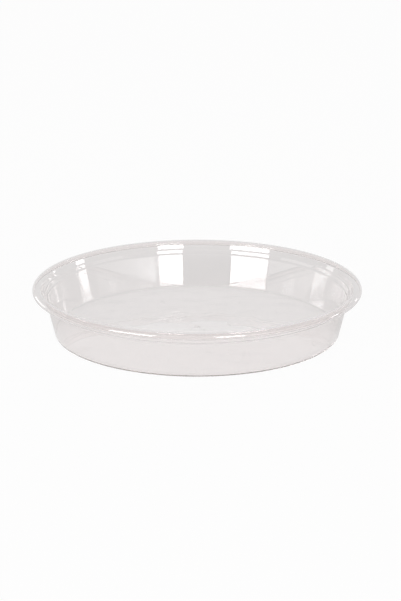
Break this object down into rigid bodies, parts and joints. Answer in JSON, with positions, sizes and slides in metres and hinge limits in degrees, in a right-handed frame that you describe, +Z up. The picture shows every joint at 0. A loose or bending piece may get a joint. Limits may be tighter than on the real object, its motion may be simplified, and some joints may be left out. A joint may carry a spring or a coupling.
{
  "type": "plant saucer",
  "caption": "Round clear plastic plant saucer with a flat floor, tapered wall, stepped band and rolled rim, for catching water under a pot.",
  "frame": {"origin": "centre of the flat underside, on the surface that the saucer stands on", "axes": "+Z up along the saucer's axis of revolution, from the underside to the rim; X and Y are any two directions across it"},
  "size_m": [0.25, 0.25, 0.037],
  "materials": {
    "clear_plastic": "clear glossy moulded plastic with a faint warm grey tone"
  },
  "bodies": {
    "root": {"saucer": "clear_plastic"}
  },
  "joints": []
}
